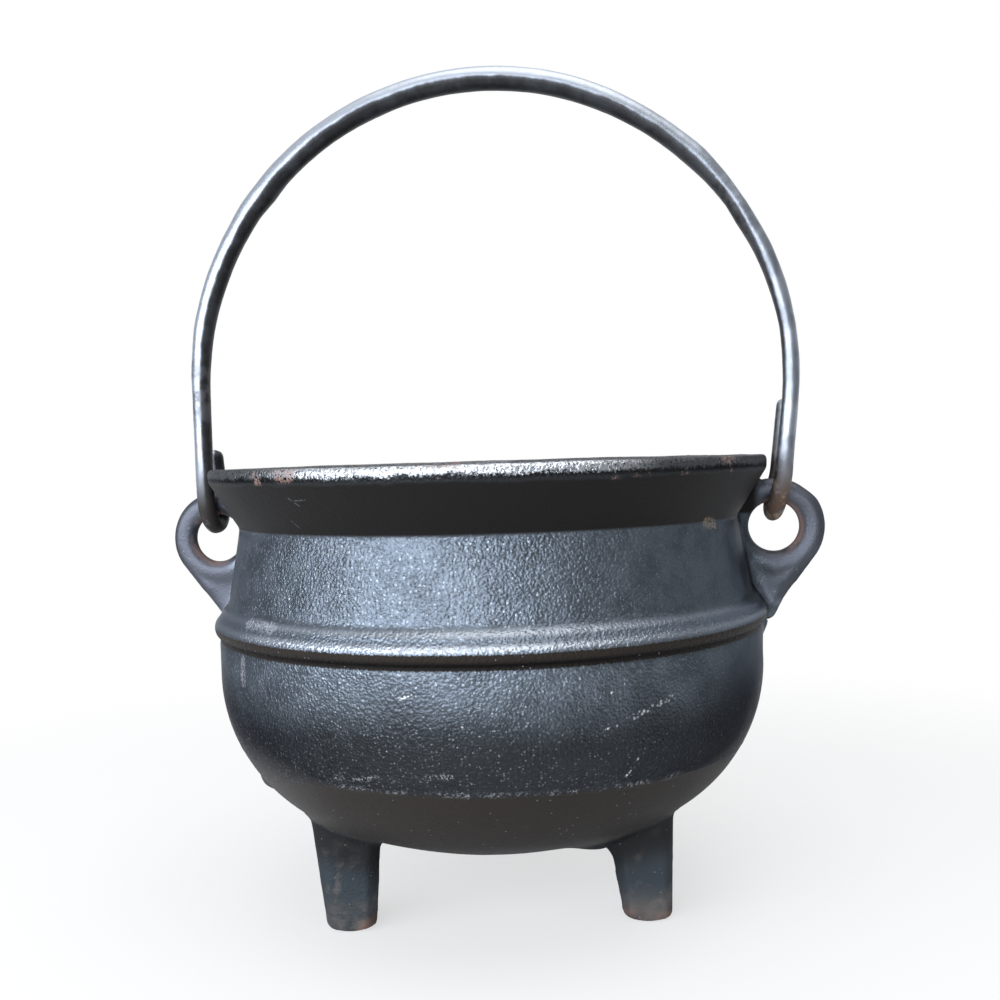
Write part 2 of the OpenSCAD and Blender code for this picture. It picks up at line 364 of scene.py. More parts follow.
def smoothJoints(piece):
    # hollow fillets where ears and legs grow out of the bowl
    x, y, z = meshPoints(piece.data).T
    radius = np.hypot(x, y)
    earZone = smoothStep(np.abs(x), 88, 94) * (1 - smoothStep(np.abs(x), 106, 110)) * (1 - smoothStep(np.abs(y), 7, 12))
    earZone *= smoothStep(z, 90, 96) * (1 - smoothStep(z, 142, 150))
    legZone = (1 - smoothStep(z, 40, 46)) * smoothStep(z, 16, 25) * (1 - smoothStep(radius, 84, 90)) * smoothStep(radius, 34, 40)
    setGroup(piece, "joints", np.maximum(earZone, legZone))
    radiusGap = (z > 153) * (z < 159) * (radius > 99.5)
    setGroup(piece, "lipEdge", radiusGap * 1.0)
    ridgeSide = smoothStep(z, 110.8, 111.8) * (1 - smoothStep(z, 114.2, 116)) * (radius > 94)
    valley = 0.4 * smoothStep(z, 108.2, 109.2) * (1 - smoothStep(z, 110.8, 111.8)) * (radius > 94)
    setGroup(piece, "bandSoft", ridgeSide + valley)
    for name, rounds, group in (("evenOut", 2, ""), ("castFillets", 22, "joints"), ("softPad", 40, "padZone"),
                                ("softLip", 5, "lipEdge"), ("softBand", 30, "bandSoft")):
        soften = piece.modifiers.new(name, "SMOOTH")
        soften.factor = 0.5
        soften.iterations = rounds
        soften.vertex_group = group
    applyModifiers(piece)


def sculptPot(piece, sizes):
    # worn feet, the mould seam, the stub of a gate, and the thicker right ear
    points = meshPoints(piece.data)
    points[:, 2] = np.interp(points[:, 2], (0, 2.5, 6, 200), (0, 0.9, 6, 200))
    piece.data.vertices.foreach_set("co", (points * mm).astype(np.float32).ravel())
    x, y, z = points.T
    radius = np.hypot(x, y)
    turn = np.degrees(np.arctan2(x, -y))  # 0 at the front, 90 at the right ear
    outside = smoothStep(radius - outsideRadius(sizes, z), -2.2, -1.2) * (z > 20)

    seam = sizes["seam"]
    seamZ = seam["z"] - seam["tilt"] * np.sin(np.radians(turn)) + 0.35 * np.sin(np.radians(turn * 7 + 40))
    uneven = 0.7 + 0.3 * np.sin(np.radians(turn * 11)) * np.sin(np.radians(turn * 5 + 60))
    clear = 0.2 + 0.8 * (1 - smoothStep(np.abs(turn - 12), 44, 62))
    clear = np.maximum(clear, 0.8 * smoothStep(np.abs(turn), 120, 135))
    offsets = clear * seam["height"] * uneven * hump(z, seamZ, seam["width"])
    offsets -= clear * seam["step"] * (1 - smoothStep(z, seamZ - 0.6, seamZ)) * smoothStep(z, seamZ - 16, seamZ - 4)
    groove = sizes["groove"]
    offsets -= groove["depth"] * hump(z, groove["z"], groove["width"])
    offsets *= outside

    waist = sizes["earWaist"]
    offsets -= outside * waist["depth"] * hump(z, waist["z"], waist["size"]) * hump(y, 0, waist["wide"]) * (x > 0)

    lump = sizes["lump"]
    around = np.radians(turn - lump["turn"]) * radius
    offsets += outside * lump["height"] * hump(around, 0, lump["size"]) * hump(z, lump["z"], lump["size"])

    root = sizes["earRoot"]
    offsets += outside * root["height"] * hump(z, root["z"], root["size"]) * hump(y, 0, root["size"]) * (x > 0)

    ring = sizes["earRing"]
    fromRing = np.hypot(x - ring["x"], z - ring["z"])
    outer = smoothStep(fromRing, ring["r"] - 2, ring["r"] + 3) * smoothStep(x, 100, 106) * (np.abs(y) < 8)
    offsets += 0.8 * outer * (1 - smoothStep(z, 144, 150))  # the top stays as it is, the hook turns round it
    pushOut(piece.data, offsets)


def roughen(piece, sizes):
    # slow waves all over, sand grain on the parts that the mould left rough
    x, y, z = meshPoints(piece.data).T
    radius = np.hypot(x, y)
    outside = radius > outsideRadius(sizes, z) - 1.5
    grainy = 0.25 + 0.75 * smoothStep(np.abs(y), 28, 72)
    rough = np.where(outside, grainy, 0.5)
    rough = np.where((z > sizes["neckZ"]) & (z < sizes["lipZ"]), 0.25, rough)
    rough = np.where((z < 62) & outside, 0.3, rough)
    rough = np.where(z > sizes["lipZ"], 0.8, rough)
    setGroup(piece, "sandy", rough)
    for name, group in (("wave", ""), ("sand", "sandy")):
        clouds = bpy.data.textures.new(name, "CLOUDS")
        clouds.noise_scale = sizes[name]["size"] * mm
        clouds.noise_depth = 1
        push = piece.modifiers.new(name, "DISPLACE")
        push.texture = clouds
        push.texture_coords = "LOCAL"
        push.strength = sizes[name]["depth"] * mm
        push.mid_level = 0.5
        push.vertex_group = group
    applyModifiers(piece)


def outsideOnly(sizes, radius, z):
    return (radius > outsideRadius(sizes, z) - 1.5) * 1.0


def markPot(piece, sizes):
    # masks for wear and dullness, and for painted shade and highlight, from where each point of the casting lies
    mesh = piece.data
    x, y, z = meshPoints(mesh).T
    radius = np.hypot(x, y)
    turn = np.degrees(np.arctan2(x, -y))
    ring = sizes["earRing"]
    fromRing = np.hypot(np.abs(x) - ring["x"], z - ring["z"])
    ear = smoothStep(np.abs(x), 97, 102) * (1 - smoothStep(np.abs(y), 6, 8)) * smoothStep(z, 104, 112)
    ear *= 1 - smoothStep(z, 154, 157)
    depth = bowlUnderside(sizes, radius) - z
    leg = smoothStep(depth, 0.6, 2.2) * (z < 50) * (radius < 76)
    # the front part, where the window lamp's light falls
    litFront = smoothStep(turn, -52, -36) * (1 - smoothStep(turn, 14, 44))
    proud = radius - outsideRadius(sizes, z)
    band = smoothStep(proud, 0.1, 0.8) * smoothStep(z, 105.9, 107.1) * (1 - smoothStep(z, 112, 114))
    # the underside of the bead: brown stain, with painted shade where it faces down
    under = smoothStep(z, 100.9, 101.9) * (1 - smoothStep(z, 105.7, 107)) * smoothStep(np.abs(y), 6, 16)
    seamZ = sizes["seam"]["z"] - sizes["seam"]["tilt"] * np.sin(np.radians(turn))
    offFront = np.abs(turn - 12)
    blur = 0.8 + 9 * smoothStep(offFront, 36, 58) * (1 - smoothStep(offFront, 110, 150))
    below = 1 - smoothStep(z, seamZ - blur, seamZ + blur)
    chipped = hump(z, 66.6 + 0.0775 * (x + 38.2), 0.8) * (turn > -27) * (turn < 0)
    chipped += 0.6 * hump(z, seamZ + 0.3, 0.7) * (turn > -26) * (turn < 46) * outsideOnly(sizes, radius, z)
    setMask(mesh, "ear", ear)
    setMask(mesh, "earHole", ear * (1 - smoothStep(fromRing, ring["r"] - 3.6, ring["r"] - 2)))
    setMask(mesh, "leg", leg)
    # painted shadow on the tops of the legs, under the belly
    setMask(mesh, "legTopShadow", leg * (1 - smoothStep(depth, 7, 19)))
    setMask(mesh, "sole", leg * (1 - smoothStep(z, 1, 8)))
    setMask(mesh, "legEnd", leg * (1 - smoothStep(z, 3, 15)))
    setMask(mesh, "band", band)
    setMask(mesh, "underBand", under)
    # painted shadow in the groove under the bead
    setMask(mesh, "grooveShadow", hump(z, sizes["groove"]["z"] + 0.5, 1.1) * smoothStep(np.abs(y), 10, 22) * (z < 104.5))
    setMask(mesh, "below", below)
    setMask(mesh, "paleLow", np.maximum(smoothStep(offFront, 38, 62), 1 - smoothStep(z, 33, 42)))
    setMask(mesh, "chipped", chipped)
    # painted shade: the right side of the pot, away from the window lamp, is darkened
    setMask(mesh, "rightShade", smoothStep(turn, 20, 58) * (1 - smoothStep(turn, 110, 150)))
    # painted highlight along the tops of the bead and the ridge, strongest on the lit front
    setMask(mesh, "bandHighlight", band * (hump(z, 108.0, 0.9) + 0.6 * hump(z, 112.0, 0.9)) * (0.3 + 0.7 * litFront))
    # painted shade on the lower part of the right ear
    setMask(mesh, "rightEarShade", ear * (x > 0) * (1 - smoothStep(z, 117, 127)))
    setMask(mesh, "grainy", (0.2 + 0.8 * smoothStep(np.abs(y), 28, 72)) * (1 - 0.6 * hump(z, 113.2, 1.5)))
    setMask(mesh, "speckled", smoothStep(-y, 28, 62) * (1 - 0.75 * smoothStep(turn, 8, 46)))
    setMask(mesh, "rubbedLip", (0.25 + 0.75 * smoothStep(turn, -40, -24)) * (1 - 0.85 * smoothStep(turn, 22, 40)))
    setMask(mesh, "inside", 1 - smoothStep(proud, -3.4, -2.2) * (z > 0))


cast = {
    "slate": (0.164, 0.189, 0.221, 1),  # black iron, rubbed to a dark metal shine
    "deepSlate": (0.108, 0.124, 0.144, 1),
    # painted shade for the right side of the pot
    "rightShade": (0.062, 0.070, 0.075, 1),
    # near black: the painted shade of the lower belly, and the lip's dark band
    "nearBlack": (0.024, 0.025, 0.026, 1),
    "peak": (0.420, 0.460, 0.510, 1),
    # painted shadow in the groove under the bead
    "grooveShadow": (0.005, 0.004, 0.004, 1),
    # the flare, which faces down, is painted near black as painted shade
    "flare": (0.0135, 0.0122, 0.0114, 1),
    "brown": (0.026, 0.021, 0.017, 1),
    "paleBrown": (0.062, 0.055, 0.050, 1),
    "seasoned": (0.050, 0.047, 0.045, 1),
    "leg": (0.050, 0.060, 0.068, 1),
    # painted shadow for the leg tops
    "legTopShadow": (0.021, 0.020, 0.019, 1),
    "legPale": (0.135, 0.125, 0.118, 1),
    "ear": (0.118, 0.122, 0.143, 1),
    # painted shade for the lower right ear
    "rightEarShade": (0.088, 0.093, 0.106, 1),
    "band": (0.160, 0.185, 0.222, 1),
    # painted highlight on the bead and ridge tops
    "bandHighlight": (0.560, 0.600, 0.660, 1),
    "bare": (0.640, 0.655, 0.680, 1),
    "rust": (0.230, 0.120, 0.075, 1),
    "pinkRust": (0.300, 0.190, 0.165, 1),
    "tan": (0.300, 0.230, 0.180, 1),
    "edge": (0.33, 0.33, 0.35, 1),  # keeps the glancing sides dark
    "grainSize": 0.66,
    "domeSize": 1.05,
    "grainDepth": 0.6,
    "smudges": [
        {"start": (79.9, -45.0, 139.6), "end": (76.7, -49.9, 140.6), "width": 2.5, "share": 0.7,
         "tint": (0.300, 0.230, 0.180, 1)},
        {"start": (-71.5, -66.5, 111.5), "end": (-60.5, -76.5, 110.8), "width": 3.0, "share": 0.35,
         "tint": (0.300, 0.260, 0.285, 1)},
        {"start": (-74.8, -65.9, 99.6), "end": (-75.3, -65.4, 92.6), "width": 2.4, "share": 0.45,
         "tint": (0.260, 0.215, 0.215, 1)},
        {"start": (-54.5, -86.2, 160.2), "end": (-50.5, -88.6, 160.2), "width": 3.2, "share": 0.85,
         "tint": (0.300, 0.190, 0.165, 1)},
    ],
    "scratches": [
        {"start": (44.2, -88.8, 81.6), "end": (54.2, -83.5, 85.5), "width": 1.2},
        {"start": (54.2, -83.5, 85.5), "end": (64.4, -76.1, 89.0), "width": 1.2},
        {"start": (49.2, -80.9, 65.5), "end": (54.8, -80.7, 73.5), "width": 0.8},
        {"start": (41.5, -90.6, 91.0), "end": (48.1, -87.3, 93.9), "width": 0.6},
        {"start": (-16.8, -98.2, 93.3), "end": (-12.7, -98.8, 94.9), "width": 0.7},
        {"start": (1.3, -99.5, 85.2), "end": (3.7, -99.4, 85.4), "width": 0.9},
    ],
    "hairs": [
        {"start": (-53.0, -84.0, 153.3), "end": (-48.9, -84.4, 150.4), "width": 0.3},
        {"start": (-51.1, -84.2, 152.0), "end": (-45.8, -87.5, 152.3), "width": 0.3},
        {"start": (-53.5, -77.9, 145.5), "end": (-50.7, -77.8, 142.9), "width": 0.3},
    ],
}


def castIron(look):
    material, tree = newMaterial("castIron")
    place = placeInMm(tree)
    height = addNode(tree, "SeparateXYZ", {0: place}).outputs["Z"]
    shift = calc(tree, "MULTIPLY", calc(tree, "SUBTRACT", noiseOf(tree, place, 9), 0.5), 2.4)
    level = calc(tree, "ADD", height, shift)
    blotch = noiseOf(tree, place, 11, 4.0, 0.6)
    drift = noiseOf(tree, place, 42, 2.0)
    speck = noiseOf(tree, place, 0.8, 2.0, 0.6)
    domes = addNode(tree, "TexVoronoi", {"Vector": place, "Scale": 1 / look["domeSize"], "Smoothness": 0.6},
                    feature="SMOOTH_F1").outputs["Distance"]
    grain = mixValue(tree, 0.5, noiseOf(tree, place, look["grainSize"], 2.0, 0.5), inverse(tree, domes))

    flare = calc(tree, "MULTIPLY", stepOf(tree, height, 139.9, 141.3), inverse(tree, stepOf(tree, height, 157.0, 158.4)))
    lip = stepOf(tree, level, 156.2, 157.4)
    ragged = calc(tree, "MULTIPLY", calc(tree, "SUBTRACT", speck, 0.5), 3.0)
    upperLip = stepOf(tree, calc(tree, "ADD", level, ragged), 158.6, 160.0)
    leg, ear, band = maskOf(tree, "leg"), maskOf(tree, "ear"), maskOf(tree, "band")
    below = calc(tree, "MULTIPLY", maskOf(tree, "below"), inverse(tree, leg))
    flare = calc(tree, "MULTIPLY", flare, inverse(tree, ear))
    inside = maskOf(tree, "inside")
    dull = calc(tree, "MAXIMUM", calc(tree, "MAXIMUM", flare, below), inside)

    colour = mixColour(tree, stepOf(tree, blotch, 0.3, 0.7), look["deepSlate"], look["slate"])
    shine = calc(tree, "MULTIPLY", dotsOf(tree, place, 1.2, 0.55, 0.5), stepOf(tree, speck, 0.3, 0.6))
    shine = calc(tree, "MULTIPLY", shine, maskOf(tree, "speckled"))
    colour = mixColour(tree, calc(tree, "MULTIPLY", shine, 0.6), colour, look["peak"])
    # painted shade on the right side of the pot
    colour = mixColour(tree, calc(tree, "MULTIPLY", maskOf(tree, "rightShade"), 0.42), colour, look["rightShade"])
    # painted shade: the belly darkens towards the bottom, where it faces down
    lowerBellyShade = inverse(tree, stepOf(tree, calc(tree, "ADD", height, calc(tree, "MULTIPLY", drift, 16.0)), 86, 107))
    colour = mixColour(tree, calc(tree, "MULTIPLY", lowerBellyShade, 0.88), colour, look["nearBlack"])
    # the bead's underside: brown stain, darkened as painted shade where it faces down
    spill = calc(tree, "ADD", maskOf(tree, "underBand"), calc(tree, "MULTIPLY", calc(tree, "SUBTRACT", speck, 0.5), 1.4))
    underBand = stepOf(tree, spill, 0.25, 0.6)
    colour = mixColour(tree, calc(tree, "MULTIPLY", band, 0.75), colour, look["band"])
    # painted highlight on the tops of the bead and the ridge
    colour = mixColour(tree, calc(tree, "MULTIPLY", maskOf(tree, "bandHighlight"), 0.85), colour, look["bandHighlight"])
    colour = mixColour(tree, underBand, colour, look["brown"])
    # painted shadow in the groove under the bead
    colour = mixColour(tree, maskOf(tree, "grooveShadow"), colour, look["grooveShadow"])
    # painted shade: the downward-facing flare is painted near black
    colour = mixColour(tree, flare, colour, look["flare"])
    brownShare = calc(tree, "MULTIPLY", maskOf(tree, "paleLow"), stepOf(tree, drift, 0.2, 0.6))
    brown = mixColour(tree, brownShare, look["brown"], look["paleBrown"])
    colour = mixColour(tree, calc(tree, "MULTIPLY", below, 0.92), colour, brown)
    legShare = calc(tree, "ADD", maskOf(tree, "legEnd"), stepOf(tree, blotch, 0.56, 0.72))
    legShare = addNode(tree, "Clamp", {0: calc(tree, "MULTIPLY", legShare, stepOf(tree, blotch, 0.3, 0.6))}).outputs[0]
    legColour = mixColour(tree, legShare, look["leg"], look["legPale"])
    # painted shadow on the leg tops under the belly
    legColour = mixColour(tree, calc(tree, "MULTIPLY", maskOf(tree, "legTopShadow"), 0.85), legColour, look["legTopShadow"])
    colour = mixColour(tree, leg, colour, legColour)
    # the lower right ear gets painted shade
    earColour = mixColour(tree, maskOf(tree, "rightEarShade"), look["ear"], look["rightEarShade"])
    colour = mixColour(tree, calc(tree, "MULTIPLY", ear, 0.9), colour, earColour)
    insideColour = mixColour(tree, stepOf(tree, blotch, 0.3, 0.7), look["brown"], look["seasoned"])
    colour = mixColour(tree, inside, colour, insideColour)

    bareLip = calc(tree, "MULTIPLY", calc(tree, "MULTIPLY", upperLip, maskOf(tree, "rubbedLip")), stepOf(tree, speck, 0.28, 0.5))
    colour = mixColour(tree, lip, colour, look["nearBlack"])
    colour = mixColour(tree, bareLip, colour, look["bare"])
    rustNoise = noiseOf(tree, place, 15, 5.0, 0.65)
    lipRust = calc(tree, "MULTIPLY", calc(tree, "MULTIPLY", lip, stepOf(tree, rustNoise, 0.57, 0.66)), stepOf(tree, speck, 0.4, 0.55))
    colour = mixColour(tree, calc(tree, "MULTIPLY", lipRust, 0.8), colour, look["pinkRust"])
    holeRust = calc(tree, "MULTIPLY", maskOf(tree, "earHole"), stepOf(tree, blotch, 0.3, 0.55))
    colour = mixColour(tree, calc(tree, "MULTIPLY", holeRust, 0.75), colour, look["pinkRust"])
    soleRust = calc(tree, "MULTIPLY", maskOf(tree, "sole"), stepOf(tree, rustNoise, 0.42, 0.6))
    colour = mixColour(tree, calc(tree, "MULTIPLY", soleRust, 0.5), colour, look["rust"])
    smudge = None
    for mark in look["smudges"]:
        spot = nearLine(tree, place, mark["start"], mark["end"], mark["width"])
        spot = calc(tree, "MULTIPLY", spot, stepOf(tree, speck, 0.42, 0.56))
        colour = mixColour(tree, calc(tree, "MULTIPLY", spot, mark["share"]), colour, mark["tint"])
        smudge = spot if smudge is None else calc(tree, "MAXIMUM", smudge, spot)
    rusty = calc(tree, "MAXIMUM", calc(tree, "MAXIMUM", lipRust, holeRust), calc(tree, "MAXIMUM", soleRust, smudge))

    marks = None
    beads = dotsOf(tree, place, 1.2, 0.62, 0.95)
    for row, pattern, share in ((look["scratches"], beads, 1.0), (look["hairs"], stepOf(tree, speck, 0.4, 0.5), 0.14)):
        for mark in row:
            line = nearLine(tree, place, mark["start"], mark["end"], mark["width"])
            line = calc(tree, "MULTIPLY", calc(tree, "MULTIPLY", line, share), pattern)
            marks = line if marks is None else calc(tree, "MAXIMUM", marks, line)
    chips = calc(tree, "MULTIPLY", maskOf(tree, "chipped"), stepOf(tree, speck, 0.5, 0.6))
    chips = calc(tree, "MULTIPLY", chips, stepOf(tree, noiseOf(tree, place, 5), 0.4, 0.6))
    marks = calc(tree, "MAXIMUM", marks, calc(tree, "MULTIPLY", chips, 0.85))
    dots = calc(tree, "MULTIPLY", dotsOf(tree, place, 2.0, 0.3, 0.3), inverse(tree, calc(tree, "MAXIMUM", inside, flare)))
    marks = calc(tree, "MAXIMUM", marks, calc(tree, "MULTIPLY", dots, 0.35))
    fleckShare = calc(tree, "MULTIPLY", calc(tree, "MULTIPLY", lowerBellyShade, inverse(tree, calc(tree, "MAXIMUM", dull, leg))), 0.3)
    fleckShare = calc(tree, "MULTIPLY", fleckShare, maskOf(tree, "speckled"))
    flecks = calc(tree, "MULTIPLY", dotsOf(tree, place, 1.1, 0.4, 0.45), calc(tree, "MULTIPLY", fleckShare, stepOf(tree, speck, 0.3, 0.6)))
    marks = calc(tree, "MAXIMUM", marks, flecks)
    colour = mixColour(tree, calc(tree, "MULTIPLY", marks, 0.8), colour, look["bare"])

    rough = calc(tree, "MULTIPLY", maskOf(tree, "grainy"), mixValue(tree, dull, 1.0, 0.25))
    dull = calc(tree, "MAXIMUM", dull, underBand)
    metallic = mixValue(tree, dull, 0.9, 0.15)
    metallic = mixValue(tree, calc(tree, "MULTIPLY", leg, 0.7), metallic, 0.4)
    metallic = mixValue(tree, rusty, metallic, 0.0)
    roughness = mixValue(tree, stepOf(tree, blotch, 0.3, 0.7), 0.30, 0.40)
    roughness = mixValue(tree, band, roughness, 0.28)
    roughness = mixValue(tree, ear, roughness, 0.5)
    roughness = mixValue(tree, calc(tree, "MAXIMUM", dull, leg), roughness, 0.55)
    roughness = mixValue(tree, rusty, roughness, 0.8)

    rough = calc(tree, "MAXIMUM", rough, lip)
    bump = addNode(tree, "Bump", {"Strength": rough, "Distance": look["grainDepth"] * mm, "Height": grain})
    settings = {"Base Color": colour, "Roughness": roughness, "Metallic": metallic, "Specular IOR Level": 0.25,
                "Specular Tint": look["edge"]}
    shader = addNode(tree, "BsdfPrincipled", dict(settings, Normal=bump.outputs[0]))
    addNode(tree, "OutputMaterial", {"Surface": shader.outputs[0]})
    return material


castPiece = castPot(pot)
markPot(castPiece, pot)
castPiece.data.materials.clear()
castPiece.data.materials.append(castIron(cast))
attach(castPiece, "pot")
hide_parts("bowl", "belly_band", "ear_left", "ear_right", "leg_front_left", "leg_front_right", "leg_rear")
print("pot casting made,", len(castPiece.data.polygons), "faces")


# the bail: one forged rod, hooked through both ears

bail = {
    "planeY": -8.3,
    "hoopX": 1.7,
    "hoopZ": 192.303,
    "hoopR": 108.8,
    "hookX": 106.4,
    "hookZ": 148.803,
    "hookR": 8.3,
    "hookTurn": 193.0,
    "setR": 40.0,
    "setRise": 2.0,
    "hookD": 6.3,
    "step": 1.0,
    "ringSides": 36,
    # along each side of the hoop: angle from the top, thickness, and how far the rod lies outwards
    "right": {"side": 1, "lean": 13.0, "tip": 25.0, "rodD": 5.9, "forged": [
        (0, 8.6, 0), (20, 8.6, -0.2), (30, 8.2, -0.4), (40, 8.0, -0.35), (45, 8.4, -0.1), (50, 7.5, -0.1),
        (56, 6.7, -0.1), (60, 7.1, -0.3), (66, 6.6, 0.1), (74, 6.3, 0.3), (82, 5.9, 0.55), (90, 5.9, 0.5)]},
    "left": {"side": -1, "lean": 5.0, "tip": 14.0, "rodD": 6.8, "forged": [
        (0, 8.6, 0), (34, 8.7, 0), (44, 8.7, -0.1), (48.5, 9.2, -0.4), (53, 8.6, -0.1), (58, 8.2, -0.3),
        (70, 8.0, -0.3), (78, 7.7, -0.2), (84, 7.2, -0.4), (90, 6.9, -0.4)]},
}


def goStraight(path, heading, length, step):
    start, count = path[-1], max(1, round(length / step))
    path += [start + heading * length * i / count for i in range(1, count + 1)]


def goRound(path, heading, inside, radius, turn, step):
    # adds a bend towards the direction inside, and gives the heading at its end
    start, count = path[-1], max(2, round(radius * turn / step))
    for i in range(1, count + 1):
        part = turn * i / count
        path.append(start + radius * (inside * (1 - cos(part)) + heading * sin(part)))
    return heading * cos(turn) + inside * sin(turn)


def halfBail(sizes, half):
    # points from the middle of the crown down to the hook's tip, each with the rod's thickness
    side, step, setR, hoopR = half["side"], sizes["step"], sizes["setR"], sizes["hoopR"]
    lean = radians(half["lean"])
    setX = sizes["hookX"] - side * sizes["hoopX"] + sizes["setRise"] * sin(lean) - setR * cos(lean)
    setDrop = sizes["hoopZ"] - sizes["hookZ"] - sizes["setRise"] * cos(lean) - setR * sin(lean)
    distance = hypot(setX, setDrop)
    run = sqrt(distance ** 2 - (hoopR - setR) ** 2)
    runLean = atan2(setDrop, setX) - acos((hoopR - setR) / distance)

    path = [Vector((sizes["hoopX"], sizes["planeY"], sizes["hoopZ"] + hoopR))]
    heading = goRound(path, Vector((side, 0, 0)), Vector((0, 0, -1)), hoopR, pi / 2 + runLean, step)
    onHoop = len(path)
    goStraight(path, heading, run, step)
    inside = Vector((-side * cos(runLean), 0, sin(runLean)))
    heading = goRound(path, heading, inside, setR, lean - runLean, step)
    goStraight(path, heading, sizes["setRise"], step)
    onRun = len(path)
    heading = goRound(path, heading, Vector((0, 1, 0)), sizes["hookR"], radians(sizes["hookTurn"]), step * 0.7)
    goStraight(path, heading, sizes["setRise"], step)
    inside = Vector((-side * cos(lean), 0, sin(lean)))
    heading = goRound(path, heading, inside, setR, lean - runLean, step)
    goStraight(path, heading, half["tip"], step)

    angles, thicks, shifts = zip(*half["forged"])
    points = []
    for i, point in enumerate(path):
        if i < onHoop:
            turn = (pi / 2 + runLean) * i / (onHoop - 1)
            away = Vector((side * sin(turn), 0, cos(turn)))
            thick, shift = (float(np.interp(turn * 180 / pi, angles, row)) for row in (thicks, shifts))
        else:
            fade = max(0.0, 1 - (i - onHoop) / (onRun - onHoop))
            thick, shift = half["rodD"], shifts[-1] * fade
            if i > onRun:
                thick = sizes["hookD"]
            else:
                thick += (sizes["hookD"] - thick) * (1 - fade)
        fromTip = (path[-1] - point).length if i > onRun + 20 else 99
        if fromTip < 3:
            thick *= 0.25 + 0.75 * sqrt(max(0.0, 1 - (1 - fromTip / 3) ** 2))
        points.append((point + away * shift, thick))
    return points


def sweptRod(bm, points, sides):
    # carries one cross direction along the path, so that the rod doesn't twist
    path = [point for point, thick in points]
    headings = [(path[min(i + 1, len(path) - 1)] - path[max(i - 1, 0)]).normalized() for i in range(len(path))]
    across = Vector((0, 1, 0))
    rings = []
    for (point, thick), heading in zip(points, headings):
        across = (across - heading * across.dot(heading)).normalized()
        other = heading.cross(across)
        ring = []
        for k in range(sides):
            turn = 2 * pi * k / sides
            out = across * cos(turn) + other * sin(turn)
            dent = noise.noise(point * 0.09 + out * 1.1) * 0.14 + noise.noise(point * 0.45 + out * 2.0) * 0.05
            ring.append(bm.verts.new((point + out * (thick / 2 + dent)) * mm))
        rings.append(ring)
    for low, high in zip(rings, rings[1:]):
        for k in range(sides):
            bm.faces.new((low[k], low[(k + 1) % sides], high[(k + 1) % sides], high[k]))
    for ring, point, heading, way in ((rings[0], path[0], headings[0], -1), (rings[-1], path[-1], headings[-1], 1)):
        tip = bm.verts.new((point + heading * way * 0.35) * mm)
        for k in range(sides):
            bm.faces.new((ring[k], ring[(k + 1) % sides], tip))
    bmesh.ops.recalc_face_normals(bm, faces=bm.faces)


def forgeBail(sizes):
    right = halfBail(sizes, sizes["right"])
    left = halfBail(sizes, sizes["left"])
    bm = bmesh.new()
    sweptRod(bm, left[::-1] + right[1:], sizes["ringSides"])
    mesh = bpy.data.meshes.new("bailRod")
    bm.to_mesh(mesh)
    bm.free()
    mesh.polygons.foreach_set("use_smooth", [True] * len(mesh.polygons))
    return newPiece("bailRod", mesh)


def markBail(piece, sizes):
    mesh = piece.data
    normals = np.array([vertex.normal[:] for vertex in mesh.vertices])
    x, y, z = meshPoints(mesh).T
    away = np.stack([x - sizes["hoopX"], np.zeros_like(x), np.maximum(z - sizes["hoopZ"], 0)], 1)
    away /= np.linalg.norm(away, axis=1)[:, None] + 1e-6
    # the bright outer and upper side is worn metal and partly a painted highlight; the dark inner side is partly
    # painted shade
    turned = 0.08 * (1 - smoothStep(z, 230, 290)) + 0.30 * (x > 0) * (1 - smoothStep(z, 190, 262))
    setMask(mesh, "outerSide", (normals * away).sum(1) * 0.5 + 0.5 + turned)
    setMask(mesh, "mottled", hump(z, 190, 15) * (x < 0) + 0.5 * hump(z, 245, 22) * (x > 0))
    hook = 1 - smoothStep(z, 146, 168)
    setMask(mesh, "hook", hook)
    setMask(mesh, "rightHook", hook * (x > 0))


rod = {
    "dark": (0.020, 0.020, 0.021, 1),
    "plain": (0.038, 0.040, 0.044, 1),
    "mottle": (0.100, 0.096, 0.105, 1),
    "bright": (0.430, 0.458, 0.512, 1),
    "rust": (0.110, 0.070, 0.050, 1),
    "darkRust": (0.032, 0.026, 0.022, 1),
    "tan": (0.330, 0.240, 0.180, 1),
}


